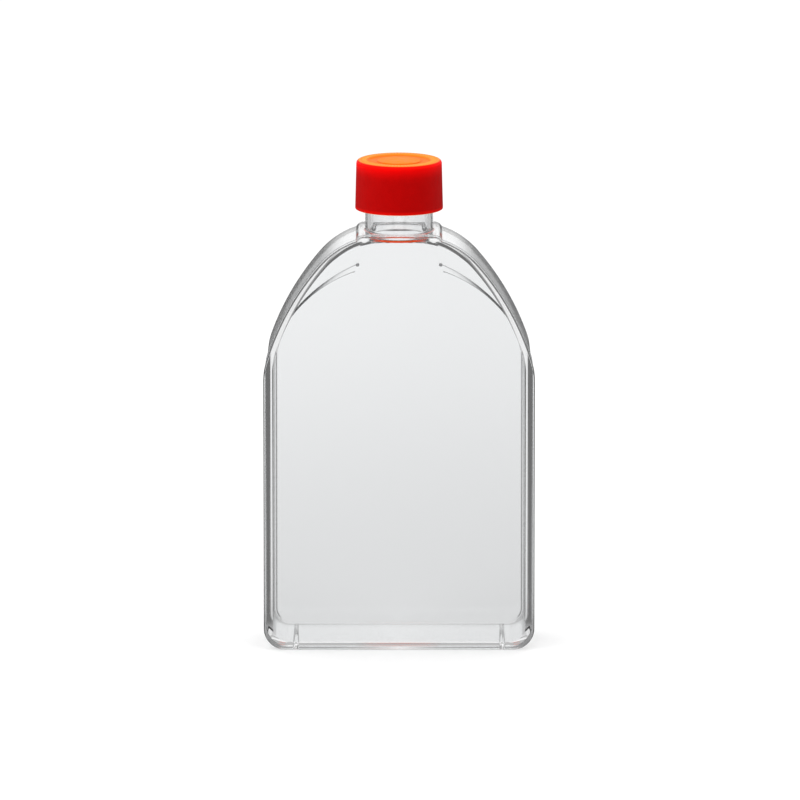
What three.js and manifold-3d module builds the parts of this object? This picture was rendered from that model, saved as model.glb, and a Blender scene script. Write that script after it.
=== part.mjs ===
// Cell culture flask of the 175 square centimetre size, standing on its end with the neck up.
//
// Three mouldings: a clear tray with its neck, a clear flat plate welded over the open side of
// the tray, and a screw cap with a plug seal.
//
// Frame: millimetres, +Z up along the flask, origin under the middle of the end it stands on.
// The cover plate faces -Y and the floor with the growth surface faces +Y.

import * as THREE from 'three';
import { mergeVertices } from 'three/addons/utils/BufferGeometryUtils.js';
import Module from 'manifold-3d';

const wasm = await Module();
wasm.setup();

// ---------------------------------------------------------------- driving dimensions

// Overall
const bodyDepth = 40; // outside of the cover plate to outside of the floor
const rimHalfWidth = 59; // half the width over the rim
const sideHeight = 123; // straight sides, up to the shoulders
const shoulderHeight = 60; // from the top of the straight sides to the top of the collar

// Walls
const plateThickness = 2; // cover plate
const floorThickness = 2; // floor, whose inside is the growth surface
const sideWall = 2.7; // side walls and shoulders
const endWall = 2.2; // wall at the standing end
const rimThickness = 1.5; // rim behind the cover plate
const rimOverhang = 1.2; // how far the rim stands out from the walls behind it
const wallDraft = 0.6; // how far the sides and end lean in from the rim to the floor

// Plan outline
const cornerRadius = 9.5; // lower corners of the rim
const shoulderRadius = 115; // long arc of each shoulder
const domeRadius = 36; // short arc between a shoulder and the collar
const domeCentreX = 7; // sideways place of the short arc's centre
const kneeRadius = 25; // rounding where the shoulders turn into the sides
const backEdgeRadius = 1.5; // rounding of the edges around the floor
const floorFillet = 1; // rounding inside, between the floor and the walls

// Collar and neck
const boreRadius = 12.5;
const neckWall = 2.3; // at the root of the thread
const neckGap = 9.2; // bare neck between the collar and the cap
const collarMargin = 4.1; // from the neck to the collar's sides
const collarRise = 1.9; // how far the collar's sides stand above the shoulders
const collarCorner = 3.4;
const lipRadius = 0.8; // rounding of the neck's mouth

// Thread on the neck
const threadPitch = 4;
const threadTurns = 2;
const threadHeight = 1.1; // how far the thread stands out from the neck
const threadRootWidth = 2.2;
const threadCrestWidth = 0.9;
const threadTop = 3.5; // from the mouth down to the start of the thread
const threadFade = 0.25; // the part of a turn over which it rises at each end
const threadEndHeight = 0.1; // how far its ends stand out

// Step around the growth surface
const stepHeight = 1.8; // the shoulders' floor stands this much above the growth surface
const footArcDrop = 18.8; // from the collar's top down to the top of the arc of the step's foot
const stepEndInset = 6.4; // from the side of the rim to the step's end by the side wall
const stepEndRise = 8.56; // from the top of the straight sides up to the foot of the step there
const stepEndRun = 2.75; // from the foot to the head of the step there, in plan
const headArcExtra = 15.3; // how much larger the radius of the arc of the step's head is
const headArcX = -11.2; // sideways place of that arc's centre
const channelFootHalf = 19.7; // half the pouring channel's width, at the foot of the step
const channelHeadHalf = 17.9; // the same at the head of the step
const channelTopHalf = 9.8; // and at the height of the collar's top

// Feet on the standing end
const footX = 45;
const footWidthFront = 2.6;
const footWidthBack = 1.8;

// Cap
const capHeight = 21.6;
const capDraft = 0.5; // the skirt stands out this much more at its mouth than at the top
const capEdgeRadius = 1.6; // rounding of the top edge
const capWall = 1.9; // skirt
const capTopThickness = 2;
const capThreadRoom = 1.3; // between the crest of the neck's thread and the skirt
const capSeatGap = 0.3; // between the neck's mouth and the inside of the cap's top
const plugClearance = 0.3; // between the plug seal and the bore
const plugWall = 1.3;
const plugLength = 5;
const plugTaper = 1.2; // height of the taper at the plug's tip
const capRimWidth = 4.6; // raised rim around the recess in the top
const recessDepth = 0.7;
const discRadius = 9.7; // raised disc in the middle of the recess
const discRise = 0.35;
const skirtBevel = 0.8; // bevel around the mouth of the cap

// Fineness of the round stretches
const roundSegments = 60; // around the neck and the cap
const threadSteps = 40; // along one turn of the thread
const arcSegments = {
  corner: 6, knee: 4, shoulder: 20, dome: 7, collar: 4, edge: 3, step: 16, lip: 2, capEdge: 4,
};

// ---------------------------------------------------------------- derived places

const frontFace = -bodyDepth / 2;
const rimFace = frontFace + plateThickness; // the plate is welded on here
const backFace = bodyDepth / 2;
const floorFace = backFace - floorThickness; // the growth surface
const collarTop = sideHeight + shoulderHeight;
const capBottom = collarTop + neckGap;
const capTop = capBottom + capHeight;
const mouth = capTop - capTopThickness - capSeatGap; // top of the neck
const stepEndX = rimHalfWidth - stepEndInset;
const neckRadius = boreRadius + neckWall; // at the root of the thread
const collarHalfWidth = neckRadius + collarMargin;
const capSkirtRadius = neckRadius + threadHeight + capThreadRoom + capWall;
const capTopRadius = capSkirtRadius - capDraft;
const overlap = 0.6; // how far joined solids run into each other
const weldDistance = 1e-5; // corners of one surface that lie closer than this are one corner

// Where two circles meet, on the right of the way from the first centre to the second.
function meetingPoint(first, firstRadius, second, secondRadius) {
  const apart = first.distanceTo(second);
  const along = (firstRadius ** 2 - secondRadius ** 2 + apart ** 2) / (2 * apart);
  const off = Math.sqrt(firstRadius ** 2 - along ** 2);
  const way = second.clone().sub(first).divideScalar(apart);
  return first.clone().addScaledVector(way, along)
    .addScaledVector(new THREE.Vector2(way.y, -way.x), off);
}

// The collar's rounded corner, and the height on it where it comes out of the shoulders.
const collarCentre = new THREE.Vector2(collarHalfWidth - collarCorner, collarTop - collarCorner);
const collarFoot = new THREE.Vector2(
  collarCentre.x + Math.sqrt(collarCorner ** 2 - (collarCorner - collarRise) ** 2),
  collarTop - collarRise,
);

// Centre of the short arc, which ends at the foot of the collar's side.
const domeCentre = new THREE.Vector2(
  domeCentreX,
  collarFoot.y - Math.sqrt(domeRadius ** 2 - (collarFoot.x - domeCentreX) ** 2),
);

// Centre of the long arc: it runs smoothly on from the short arc, and aims at the top of the
// rim's straight side.
const shoulderCentre = meetingPoint(domeCentre, shoulderRadius - domeRadius,
  new THREE.Vector2(rimHalfWidth, sideHeight), shoulderRadius);
const joinAngle = domeCentre.clone().sub(shoulderCentre).angle(); // where the two arcs meet

// ---------------------------------------------------------------- small helpers

function arc(centre, radius, from, to, segments) {
  const points = [];
  for (let i = 0; i <= segments; i += 1) {
    const angle = from + ((to - from) * i) / segments;
    points.push(new THREE.Vector2(
      centre.x + radius * Math.cos(angle),
      centre.y + radius * Math.sin(angle),
    ));
  }
  return points;
}

function mirrored(right) {
  const left = right.map((p) => new THREE.Vector2(-p.x, p.y)).reverse();
  return [...right, ...left];
}

// Quarter round of a turned profile, from facing outwards to facing up, as [radius, height].
function quarterRound(outside, top, radius, segments) {
  return arc(new THREE.Vector2(outside - radius, top - radius), radius, 0, Math.PI / 2, segments)
    .map((p) => [p.x, p.y]);
}

// A closed three.js geometry as a manifold-3d solid.
function solid(geometry) {
  const bare = geometry.clone();
  bare.deleteAttribute('normal');
  bare.deleteAttribute('uv');
  const merged = mergeVertices(bare, weldDistance);
  const corners = merged.index.array;
  const triangles = [];
  for (let i = 0; i < corners.length; i += 3) {
    const [a, b, c] = corners.subarray(i, i + 3);
    if (a !== b && b !== c && c !== a) triangles.push(a, b, c);
  }
  return new wasm.Manifold(new wasm.Mesh({
    numProp: 3,
    vertProperties: new Float32Array(merged.attributes.position.array),
    triVerts: new Uint32Array(triangles),
  }));
}

// A solid with flat ends and a plan outline that changes along Y. Each ring is { y, points },
// its points run anticlockwise seen from -Y, and all rings have as many points.
function loftAlongY(rings) {
  const count = rings[0].points.length;
  const position = [];
  const index = [];
  rings.forEach(({ y, points }) => points.forEach((p) => position.push(p.x, y, p.y)));
  for (let r = 0; r + 1 < rings.length; r += 1) {
    for (let i = 0; i < count; i += 1) {
      const a = r * count + i;
      const b = r * count + ((i + 1) % count);
      index.push(a, a + count, b, b, a + count, b + count);
    }
  }
  const last = (rings.length - 1) * count;
  THREE.ShapeUtils.triangulateShape(rings[0].points, [])
    .forEach(([a, b, c]) => index.push(a, b, c));
  THREE.ShapeUtils.triangulateShape(rings[rings.length - 1].points, [])
    .forEach(([a, b, c]) => index.push(last + a, last + c, last + b));
  const geometry = new THREE.BufferGeometry();
  geometry.setAttribute('position', new THREE.Float32BufferAttribute(position, 3));
  geometry.setIndex(index);
  return solid(geometry);
}

// A solid turned about Z from [radius, height] pairs that start and end on the axis, from the
// bottom up.
function turned(profile) {
  const points = profile.map(([r, z]) => new THREE.Vector2(r, z));
  const geometry = new THREE.LatheGeometry(points, roundSegments);
  geometry.rotateX(Math.PI / 2); // LatheGeometry turns about Y
  return solid(geometry);
}

// ---------------------------------------------------------------- plan outlines

// The flask's outline with its sides at side and its end at bottom, drawn in by inset all round.
// It ends in the collar, or, with no collar, in the short arcs and a flat between them.
function bodyOutline({ side, bottom, inset = 0, withCollar = true }) {
  const corner = new THREE.Vector2(side - cornerRadius, bottom + cornerRadius);
  const lower = arc(corner, cornerRadius - inset, -Math.PI / 2, 0, arcSegments.corner);
  const kneeReach = side - kneeRadius - shoulderCentre.x;
  const kneeCentre = new THREE.Vector2(side - kneeRadius,
    shoulderCentre.y + Math.sqrt((shoulderRadius - kneeRadius) ** 2 - kneeReach ** 2));
  const kneeAngle = kneeCentre.clone().sub(shoulderCentre).angle();
  const knee = arc(kneeCentre, kneeRadius - inset, 0, kneeAngle, arcSegments.knee);
  const shoulder = arc(shoulderCentre, shoulderRadius - inset, kneeAngle, joinAngle,
    arcSegments.shoulder);
  const outline = [...lower, ...knee, ...shoulder.slice(1)];
  const domeInset = domeRadius - inset;
  if (!withCollar) {
    const dome = arc(domeCentre, domeInset, joinAngle, Math.PI / 2, arcSegments.dome);
    return mirrored([...outline, ...dome.slice(1)]);
  }
  const cornerInset = collarCorner - inset;
  const foot = meetingPoint(domeCentre, domeInset, collarCentre, cornerInset);
  const domeEnd = foot.clone().sub(domeCentre).angle();
  const collarStart = foot.clone().sub(collarCentre).angle();
  const dome = arc(domeCentre, domeInset, joinAngle, domeEnd, arcSegments.dome);
  const collar = arc(collarCentre, cornerInset, collarStart, Math.PI / 2, arcSegments.collar);
  return mirrored([...outline, ...dome.slice(1), ...collar.slice(1)]);
}

// Depths and insets of the rounding where the walls turn into the floor's outside.
function backEdge() {
  const steps = [];
  for (let i = 1; i <= arcSegments.edge; i += 1) {
    const angle = ((Math.PI / 2) * i) / arcSegments.edge;
    steps.push({
      y: backFace - backEdgeRadius * (1 - Math.sin(angle)),
      inset: backEdgeRadius * (1 - Math.cos(angle)),
    });
  }
  return steps;
}

// ---------------------------------------------------------------- the tray

const rimOutline = { side: rimHalfWidth, bottom: 0 };
const wallAtRim = { side: rimHalfWidth - rimOverhang, bottom: rimOverhang };
const wallAtFloor = {
  side: wallAtRim.side - wallDraft,
  bottom: wallAtRim.bottom + wallDraft,
};

function trayOutside() {
  return loftAlongY([
    { y: rimFace, points: bodyOutline(rimOutline) },
    { y: rimFace + rimThickness, points: bodyOutline(rimOutline) },
    { y: rimFace + rimThickness, points: bodyOutline(wallAtRim) },
    { y: backFace - backEdgeRadius, points: bodyOutline(wallAtFloor) },
    ...backEdge().map(({ y, inset }) => ({ y, points: bodyOutline({ ...wallAtFloor, inset }) })),
  ]);
}

// The hollow, open towards the plate. The outline is drawn in by the side wall all round, so its
// end starts from where it leaves the end wall.
function hollow() {
  const inside = (wall, extra) => bodyOutline({
    side: wall.side,
    bottom: wall.bottom + endWall - sideWall,
    inset: sideWall + extra,
    withCollar: false,
  });
  return loftAlongY([
    { y: frontFace, points: inside(wallAtRim, 0) },
    { y: floorFace - floorFillet, points: inside(wallAtFloor, 0) },
    { y: floorFace, points: inside(wallAtFloor, floorFillet) },
  ]);
}

// One side of the raised shoulder floor in plan, running out past the walls: along the step's
// arc from the pouring channel to its end or widest place, out, up, and back to the channel.
function stepOutline({ centre, radius, channelHalf }) {
  const from = Math.acos((channelHalf - centre.x) / radius);
  const to = Math.acos(Math.min(1, (stepEndX - centre.x) / radius));
  const edge = arc(centre, radius, from, to, arcSegments.step);
  return [
    ...edge,
    new THREE.Vector2(rimHalfWidth, edge[edge.length - 1].y),
    new THREE.Vector2(rimHalfWidth, collarTop),
    new THREE.Vector2(channelTopHalf, collarTop),
  ];
}

// The foot of the step: an arc about the middle, from its top to the step's end.
function footLineOf() {
  const top = collarTop - footArcDrop;
  const fall = top - sideHeight - stepEndRise;
  const radius = (stepEndX ** 2 + fall ** 2) / (2 * fall);
  return { centre: new THREE.Vector2(0, top - radius), radius, channelHalf: channelFootHalf };
}

// The head of the step: a flatter arc on each side, which also runs to the step's end.
function headLineOf() {
  const radius = footLineOf().radius + headArcExtra;
  const rise = Math.sqrt(radius ** 2 - (stepEndX - headArcX) ** 2);
  const height = sideHeight + stepEndRise + stepEndRun - rise;
  return { centre: new THREE.Vector2(headArcX, height), radius, channelHalf: channelHeadHalf };
}

// The step slopes from its foot on the growth surface to its head, and its slope runs on into
// the floor so that the two join.
function shoulderStep(side) {
  const footLine = footLineOf();
  const headLine = headLineOf();
  const sunk = 1 + overlap / stepHeight;
  const sunkLine = {
    centre: headLine.centre.clone().lerp(footLine.centre, sunk),
    radius: THREE.MathUtils.lerp(headLine.radius, footLine.radius, sunk),
    channelHalf: THREE.MathUtils.lerp(headLine.channelHalf, footLine.channelHalf, sunk),
  };
  const place = (points) => (side > 0
    ? points
    : points.map((p) => new THREE.Vector2(-p.x, p.y)).reverse());
  return loftAlongY([
    { y: floorFace - stepHeight, points: place(stepOutline(headLine)) },
    { y: floorFace + overlap, points: place(stepOutline(sunkLine)) },
  ]);
}

// The raised floor of both shoulders, ending inside the walls.
function shoulderFloor() {
  const points = bodyOutline({ ...wallAtFloor, inset: sideWall / 2, withCollar: false });
  const within = loftAlongY([{ y: rimFace, points }, { y: backFace, points }]);
  return shoulderStep(1).add(shoulderStep(-1)).intersect(within);
}

function foot(side) {
  const front = rimFace + rimThickness - overlap;
  const back = backFace - backEdgeRadius;
  const top = wallAtFloor.bottom + overlap;
  const section = (width) => [
    new THREE.Vector2(side * footX - width / 2, 0),
    new THREE.Vector2(side * footX + width / 2, 0),
    new THREE.Vector2(side * footX + width / 2, top),
    new THREE.Vector2(side * footX - width / 2, top),
  ];
  return loftAlongY([
    { y: front, points: section(footWidthFront) },
    { y: back, points: section(footWidthBack) },
  ]);
}

// ---------------------------------------------------------------- the neck

// The neck without its bore. It stands on the collar, with a narrower part let into it.
function neckOutside() {
  const rootRadius = boreRadius + neckWall / 2;
  return turned([
    [0, collarTop - overlap],
    [rootRadius, collarTop - overlap],
    [rootRadius, collarTop],
    [neckRadius, collarTop],
    ...quarterRound(neckRadius, mouth, lipRadius, arcSegments.lip),
    [0, mouth],
  ]);
}

function neckBore() {
  const bottom = domeCentre.y + domeRadius - 2 * sideWall; // inside the hollow
  return turned([
    [0, bottom],
    [boreRadius, bottom],
    [boreRadius, mouth - lipRadius],
    [boreRadius + lipRadius, mouth + overlap],
    [0, mouth + overlap],
  ]);
}

// The thread: a ridge of trapezoid section that climbs round the neck, and fades at its ends.
function neckThread() {
  const steps = threadTurns * threadSteps;
  const position = [];
  const index = [];
  const inner = neckRadius - overlap;
  for (let i = 0; i <= steps; i += 1) {
    const turn = i / threadSteps;
    const angle = turn * Math.PI * 2;
    const risen = Math.min(1, turn / threadFade, (threadTurns - turn) / threadFade);
    const crest = neckRadius + THREE.MathUtils.lerp(threadEndHeight, threadHeight, risen);
    const z = mouth - threadTop - threadPitch * (threadTurns - turn);
    const section = [
      [inner, -threadRootWidth / 2],
      [crest, -threadCrestWidth / 2],
      [crest, threadCrestWidth / 2],
      [inner, threadRootWidth / 2],
    ];
    section.forEach(([r, dz]) => position.push(r * Math.cos(angle), r * Math.sin(angle), z + dz));
  }
  for (let i = 0; i < steps; i += 1) {
    for (let k = 0; k < 4; k += 1) {
      const a = i * 4 + k;
      const b = i * 4 + ((k + 1) % 4);
      index.push(a, a + 4, b, b, a + 4, b + 4);
    }
  }
  const end = steps * 4;
  index.push(0, 1, 2, 0, 2, 3, end, end + 2, end + 1, end, end + 3, end + 2);
  const geometry = new THREE.BufferGeometry();
  geometry.setAttribute('position', new THREE.Float32BufferAttribute(position, 3));
  geometry.setIndex(index);
  return solid(geometry);
}

function flaskBody() {
  return trayOutside()
    .add(neckOutside())
    .add(neckThread())
    .subtract(hollow())
    .add(shoulderFloor())
    .subtract(neckBore())
    .add(foot(1))
    .add(foot(-1));
}

// ---------------------------------------------------------------- cover plate

function topPlate() {
  const points = bodyOutline(rimOutline);
  return loftAlongY([
    { y: frontFace, points },
    { y: rimFace, points },
  ]);
}

// ---------------------------------------------------------------- cap

function screwCap() {
  const skirtInner = capSkirtRadius - capWall;
  const crownInner = capTopRadius - capWall;
  const ceiling = capTop - capTopThickness;
  const plugRadius = boreRadius - plugClearance;
  const recessRadius = capTopRadius - capRimWidth;
  return turned([
    [0, ceiling],
    [plugRadius - plugWall, ceiling],
    [plugRadius - plugWall, ceiling - plugLength],
    [plugRadius - plugWall / 2, ceiling - plugLength],
    [plugRadius, ceiling - plugLength + plugTaper],
    [plugRadius, ceiling],
    [crownInner, ceiling],
    [skirtInner, capBottom + skirtBevel],
    [skirtInner + skirtBevel, capBottom],
    [capSkirtRadius - skirtBevel / 2, capBottom],
    [capSkirtRadius, capBottom + skirtBevel],
    ...quarterRound(capTopRadius, capTop, capEdgeRadius, arcSegments.capEdge),
    [recessRadius, capTop],
    [recessRadius - recessDepth, capTop - recessDepth],
    [discRadius + discRise, capTop - recessDepth],
    [discRadius, capTop - recessDepth + discRise],
    [0, capTop - recessDepth + discRise],
  ]);
}

// ---------------------------------------------------------------- materials and assembly

const clearPlastic = { color: 0xdfe4e6, roughness: 0.06, metalness: 0, opacity: 0.35,
  transparent: true };
const capPlastic = { color: 0xe0330f, roughness: 0.42, metalness: 0 };

function mesh(name, body, look) {
  const { numProp, vertProperties, triVerts } = body.getMesh();
  const geometry = new THREE.BufferGeometry();
  geometry.setAttribute('position', new THREE.BufferAttribute(vertProperties, numProp));
  geometry.setIndex(new THREE.BufferAttribute(triVerts, 1));
  geometry.computeVertexNormals();
  const piece = new THREE.Mesh(geometry, new THREE.MeshStandardMaterial(look));
  piece.name = name;
  return piece;
}

const flask = new THREE.Group();
flask.add(mesh('flask_body', flaskBody(), clearPlastic));
flask.add(mesh('top_plate', topPlate(), clearPlastic));
flask.add(mesh('screw_cap', screwCap(), capPlastic));

export default flask;
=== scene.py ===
"""Cell culture flask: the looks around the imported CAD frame.

The scene is in metres, with +Z up along the flask. The cover plate faces -Y, and the floor with the
growth surface +Y. The sizes and the points of the meshes are in millimetres, and mesh_object turns
them into metres. The materials, the studio and the camera are in metres.
"""
import math

import bmesh
import bpy
import numpy as np
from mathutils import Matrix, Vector


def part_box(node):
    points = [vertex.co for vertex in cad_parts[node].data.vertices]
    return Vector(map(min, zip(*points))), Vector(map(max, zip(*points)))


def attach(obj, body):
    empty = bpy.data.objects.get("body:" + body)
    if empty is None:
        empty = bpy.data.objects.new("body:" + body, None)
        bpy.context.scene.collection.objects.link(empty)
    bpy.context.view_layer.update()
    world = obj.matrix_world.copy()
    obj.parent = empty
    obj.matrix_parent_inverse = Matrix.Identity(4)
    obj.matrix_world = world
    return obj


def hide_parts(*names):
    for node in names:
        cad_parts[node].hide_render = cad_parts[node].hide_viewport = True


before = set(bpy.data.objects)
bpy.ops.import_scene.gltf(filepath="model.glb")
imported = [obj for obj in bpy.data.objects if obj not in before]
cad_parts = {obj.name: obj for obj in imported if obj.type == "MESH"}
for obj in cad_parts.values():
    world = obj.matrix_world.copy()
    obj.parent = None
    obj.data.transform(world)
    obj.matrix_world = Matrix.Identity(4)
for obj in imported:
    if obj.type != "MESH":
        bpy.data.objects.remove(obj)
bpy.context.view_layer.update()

MM = 0.001

# ---------------------------------------------------------------- sizes from the frame, in mm

_, body_high = [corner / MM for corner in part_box("flask_body")]
plate_low, plate_high = [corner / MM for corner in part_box("top_plate")]
cap_low, cap_high = [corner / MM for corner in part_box("screw_cap")]

FRONT = plate_low.y  # outside of the cover plate
WELD = plate_high.y  # the plate is welded to the rim here
BACK = body_high.y  # outside of the floor
HALF_WIDTH = plate_high.x
COLLAR_TOP = plate_high.z
MOUTH = body_high.z
CAP_BOTTOM = cap_low.z
CAP_TOP = cap_high.z
SKIRT_RADIUS = cap_high.x

# ---------------------------------------------------------------- other sizes, in mm

SIDE_HEIGHT = 123.0  # straight sides
SIDE_WALL = 2.7
END_WALL = 2.2
FLOOR_THICKNESS = 2.0
RIM_THICKNESS = 1.5
RIM_OVERHANG = 1.2
WALL_DRAFT = 0.6
CORNER_RADIUS = 9.5
KNEE_RADIUS = 25.0
SHOULDER_RADIUS = 115.0
DOME_RADIUS = 36.0
DOME_CENTRE_X = 7.0
COLLAR_HALF = 18.9
COLLAR_RISE = 1.9
COLLAR_CORNER = 3.4
COLLAR_FILLET = 1.0  # hollow rounding where the collar comes out of the shoulders
BACK_EDGE = 1.8  # rounding around the floor's outside
FLOOR_FILLET = 1.8
HAIR = 0.004  # the plate's inside lies this much deeper than its welded ring
RIM_EDGE = 0.6  # small rounding of the rim's and the plate's edges
RIM_FILLET = 0.5  # hollow rounding between the rim and the walls

NECK_RADIUS = 14.8
BORE_RADIUS = 12.5
NECK_ROOT = 0.8  # the neck starts this deep in the collar
NECK_FILLET = 0.9
LIP = 0.8  # rounding of the mouth's outer edge
MOUTH_CHAMFER = 0.6  # and of its inner edge
BORE_EDGE = 0.8  # rounding where the bore opens into the hollow
THREAD_PITCH = 4.0
THREAD_HEIGHT = 1.1
THREAD_TOP = 3.5
THREAD_TURNS = 2.0
THREAD_FADE = 0.15  # share of a turn in which the ridge rises at each end
THREAD_END = 0.02  # share of its height that it has there
THREAD_END_WIDTH = 0.35  # and of its width
THREAD_SEGMENTS = 96  # in a turn

STEP_HEIGHT = 1.8  # of the raised shoulder floors
STEP_END_X = HALF_WIDTH - 6.4
ARC_END_X = STEP_END_X - 3.0
STEP_END_Z = SIDE_HEIGHT + 8.56
STEP_END_RUN = 2.75
FOOT_ARC_TOP = COLLAR_TOP - 18.8
HEAD_ARC_EXTRA = 15.3
HEAD_ARC_X = -11.2

RIB_X = 45.0  # the ribs under the end wall, and their widths at the front and the back
RIB_FRONT = 2.6
RIB_BACK = 1.8
RIB_ROUNDING = 0.6  # height of the rounding below
RIB_END_RISE = 0.5  # each end of a rib is this much higher
RIB_END_RUN = 0.4  # over this length
RIB_SUNK = 0.8  # how far it reaches into the rim and the end wall

FLOOR = BACK - FLOOR_THICKNESS  # the growth surface
PAST = 1.0  # how far a cutter reaches past what it cuts

# straight pieces that stand in for each arc of an outline, and for a full turn
ARC_SEGMENTS = {"corner": 14, "knee": 8, "shoulder": 40, "dome": 24, "dome to collar": 16,
                "collar fillet": 5, "collar": 8, "step": 40}
ROUND = 144


# ---------------------------------------------------------------- plane geometry

def arc(centre, radius, start, end, count):
    """Points [x, z] on an arc, both ends included."""
    angles = np.linspace(start, end, count + 1)
    return [np.array([centre[0] + radius * math.cos(a), centre[1] + radius * math.sin(a)])
            for a in angles]


def meeting_point(first, first_radius, second, second_radius):
    """Where two circles meet, on the right of the way from the first centre to the second."""
    way = np.subtract(second, first)
    apart = np.linalg.norm(way)
    way = way / apart
    along = (first_radius ** 2 - second_radius ** 2 + apart ** 2) / (2 * apart)
    off = math.sqrt(first_radius ** 2 - along ** 2)
    return np.array(first) + way * along + np.array([way[1], -way[0]]) * off


def bearing(origin, target):
    return math.atan2(target[1] - origin[1], target[0] - origin[0])


collar_centre = np.array([COLLAR_HALF - COLLAR_CORNER, COLLAR_TOP - COLLAR_CORNER])
collar_foot = np.array([
    collar_centre[0] + math.sqrt(COLLAR_CORNER ** 2 - (COLLAR_CORNER - COLLAR_RISE) ** 2),
    COLLAR_TOP - COLLAR_RISE,
])
dome_centre = np.array([
    DOME_CENTRE_X,
    collar_foot[1] - math.sqrt(DOME_RADIUS ** 2 - (collar_foot[0] - DOME_CENTRE_X) ** 2),
])
shoulder_centre = meeting_point(dome_centre, SHOULDER_RADIUS - DOME_RADIUS,
                                (HALF_WIDTH, SIDE_HEIGHT), SHOULDER_RADIUS)
join_angle = bearing(shoulder_centre, dome_centre)


def flipped(points):
    """The points on the other side of the flask, in the order that keeps the turn."""
    return [np.array([-p[0], p[1]]) for p in reversed(points)]


def mirrored(right):
    return right + flipped(right)


def body_outline(side, bottom, inset=0.0, collar=True):
    """The flask's outline in plan, anticlockwise seen from -Y, drawn in by inset all round."""
    corner = (side - CORNER_RADIUS, bottom + CORNER_RADIUS)
    points = arc(corner, CORNER_RADIUS - inset, -math.pi / 2, 0, ARC_SEGMENTS["corner"])
    knee_reach = side - KNEE_RADIUS - shoulder_centre[0]
    knee_rise = math.sqrt((SHOULDER_RADIUS - KNEE_RADIUS) ** 2 - knee_reach ** 2)
    knee_centre = (side - KNEE_RADIUS, shoulder_centre[1] + knee_rise)
    knee_angle = bearing(shoulder_centre, knee_centre)
    points += arc(knee_centre, KNEE_RADIUS - inset, 0, knee_angle, ARC_SEGMENTS["knee"])
    points += arc(shoulder_centre, SHOULDER_RADIUS - inset, knee_angle, join_angle,
                  ARC_SEGMENTS["shoulder"])[1:]
    dome_radius = DOME_RADIUS - inset
    if not collar:
        points += arc(dome_centre, dome_radius, join_angle, math.pi / 2,
                      ARC_SEGMENTS["dome"])[1:]
        return mirrored(points)
    fillet = COLLAR_FILLET + inset
    corner_radius = COLLAR_CORNER - inset
    fillet_centre = meeting_point(dome_centre, dome_radius + fillet,
                                  collar_centre, corner_radius + fillet)
    points += arc(dome_centre, dome_radius, join_angle,
                  bearing(dome_centre, fillet_centre), ARC_SEGMENTS["dome to collar"])[1:]
    points += arc(fillet_centre, fillet, bearing(fillet_centre, dome_centre) + 2 * math.pi,
                  bearing(fillet_centre, collar_centre) % (2 * math.pi),
                  ARC_SEGMENTS["collar fillet"])[1:]
    points += arc(collar_centre, corner_radius, bearing(collar_centre, fillet_centre),
                  math.pi / 2, ARC_SEGMENTS["collar"])[1:]
    return mirrored(points)


def quarter_turn(count):
    """Sine and cosine of evenly spaced angles from 0 to 90 degrees."""
    angles = [math.pi / 2 * i / count for i in range(count + 1)]
    return [(math.sin(a), math.cos(a)) for a in angles]


# ---------------------------------------------------------------- mesh helpers

SAME_POINT = 1e-7  # metres
WELDED = 5e-7  # after the booleans


def mesh_object(name, verts, faces):
    """A mesh object from points in mm, with its faces turned outwards."""
    mesh = bpy.data.meshes.new(name)
    mesh.from_pydata([tuple(v * MM for v in p) for p in verts], [], faces)
    work = bmesh.new()
    work.from_mesh(mesh)
    bmesh.ops.remove_doubles(work, verts=work.verts, dist=SAME_POINT)
    bmesh.ops.recalc_face_normals(work, faces=work.faces)
    work.to_mesh(mesh)
    work.free()
    piece = bpy.data.objects.new(name, mesh)
    bpy.context.scene.collection.objects.link(piece)
    return piece


def ring_faces(rings, count):
    """Quads between closed rings of count points each."""
    faces = []
    for r in range(rings - 1):
        for i in range(count):
            j = (i + 1) % count
            here, above = r * count, (r + 1) * count
            faces.append((here + i, here + j, above + j, above + i))
    return faces


def loft_along_y(name, rings):
    """A closed solid through rings of (y, points), with flat ends."""
    count = len(rings[0][1])
    verts = [(p[0], y, p[1]) for y, points in rings for p in points]
    faces = ring_faces(len(rings), count)
    last = (len(rings) - 1) * count
    faces.append(tuple(range(count)))
    faces.append(tuple(last + i for i in range(count)))
    return mesh_object(name, verts, faces)


def turned(name, profile, segments, dent=None):
    """A closed solid turned about Z from (radius, height) pairs that start and end on the axis.

    dent gives how far a point at (radius, height, angle) is pressed down."""
    verts = []
    rows = profile[1:-1]
    for r, z in rows:
        for i in range(segments):
            a = 2 * math.pi * i / segments
            down = dent(r, z, a) if dent else 0.0
            verts.append((r * math.cos(a), r * math.sin(a), z - down))
    faces = ring_faces(len(rows), segments)
    start = len(verts)
    end = start + 1
    verts += [(0.0, 0.0, profile[0][1]), (0.0, 0.0, profile[-1][1])]
    top = (len(rows) - 1) * segments
    for i in range(segments):
        j = (i + 1) % segments
        faces.append((start, i, j))
        faces.append((end, top + i, top + j))
    return mesh_object(name, verts, faces)


def rounding(centre, radius, start, end, count):
    """Arc of a turned profile, as (radius, height) pairs."""
    return [(p[0], p[1]) for p in arc(centre, radius, start, end, count)]


def combine(target, tool, operation):
    """Joins or cuts two closed solids. The tool is used up."""
    modifier = target.modifiers.new("cut", "BOOLEAN")
    modifier.object = tool
    modifier.operation = operation
    modifier.solver = "MANIFOLD"
    graph = bpy.context.evaluated_depsgraph_get()
    mesh = bpy.data.meshes.new_from_object(target.evaluated_get(graph))
    target.modifiers.clear()
    old = target.data
    target.data = mesh
    bpy.data.meshes.remove(old)
    bpy.data.objects.remove(tool)
    if not len(mesh.polygons):
        raise RuntimeError("the boolean left nothing of " + target.name)
    return target


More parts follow.
